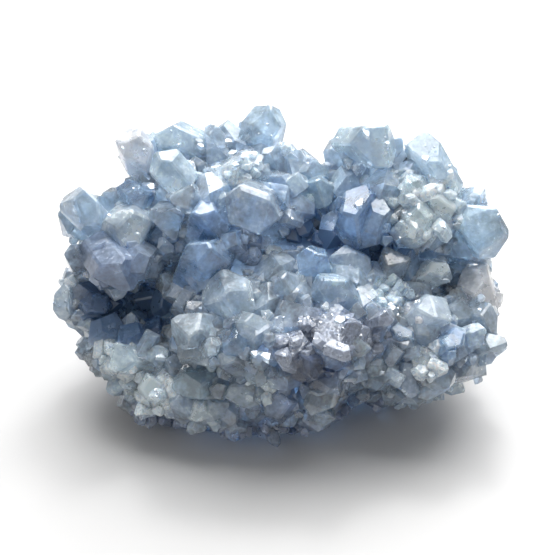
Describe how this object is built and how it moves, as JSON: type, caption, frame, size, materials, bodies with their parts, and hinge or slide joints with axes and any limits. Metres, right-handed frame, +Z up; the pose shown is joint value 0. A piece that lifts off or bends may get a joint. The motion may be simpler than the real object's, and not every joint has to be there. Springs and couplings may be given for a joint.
{
  "type": "crystal cluster",
  "caption": "Hand-sized cluster of blocky, pale blue, see-through celestite crystals grown together, with a deep hollow at the front left and a flat broken base.",
  "frame": {"origin": "middle of the bounding box's footprint, on the plane of the flat base that the cluster rests on", "axes": "+X to the right along the cluster's longest side, +Y to the back, +Z up; the side with the hollow and the shelf faces -Y"},
  "size_m": [0.118, 0.0796, 0.0697],
  "materials": {
    "celestite": "Clear to cloudy pale blue mineral with bright, slightly uneven crystal faces; whiter and grainy in places, greyer at the foot."
  },
  "bodies": {
    "root": {"celestite_cluster": "celestite"}
  },
  "joints": []
}
